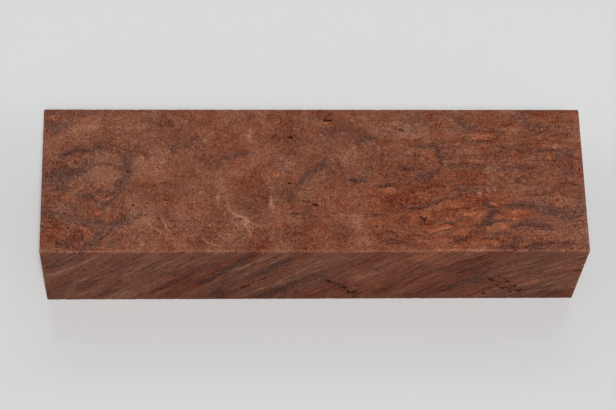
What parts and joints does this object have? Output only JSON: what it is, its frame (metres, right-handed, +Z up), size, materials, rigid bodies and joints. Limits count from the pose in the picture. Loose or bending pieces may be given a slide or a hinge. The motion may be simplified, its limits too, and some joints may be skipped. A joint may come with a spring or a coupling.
{
  "type": "stabilised burl wood block",
  "caption": "Sawn and sanded rectangular block of stabilised redwood burl with eased edges, swirling dark and amber figure and small open bark pockets.",
  "frame": {"origin": "middle of the underside, which lies on the surface", "axes": "+X along the length, +Y across the width away from the side with slanting streaks, +Z up out of the upper face with the burl eyes"},
  "size_m": [0.135, 0.0394, 0.03],
  "materials": {
    "stabilised_burl": "sanded, resin stabilised, semi-matte"
  },
  "bodies": {
    "root": {"burl_block": "stabilised_burl"}
  },
  "joints": []
}
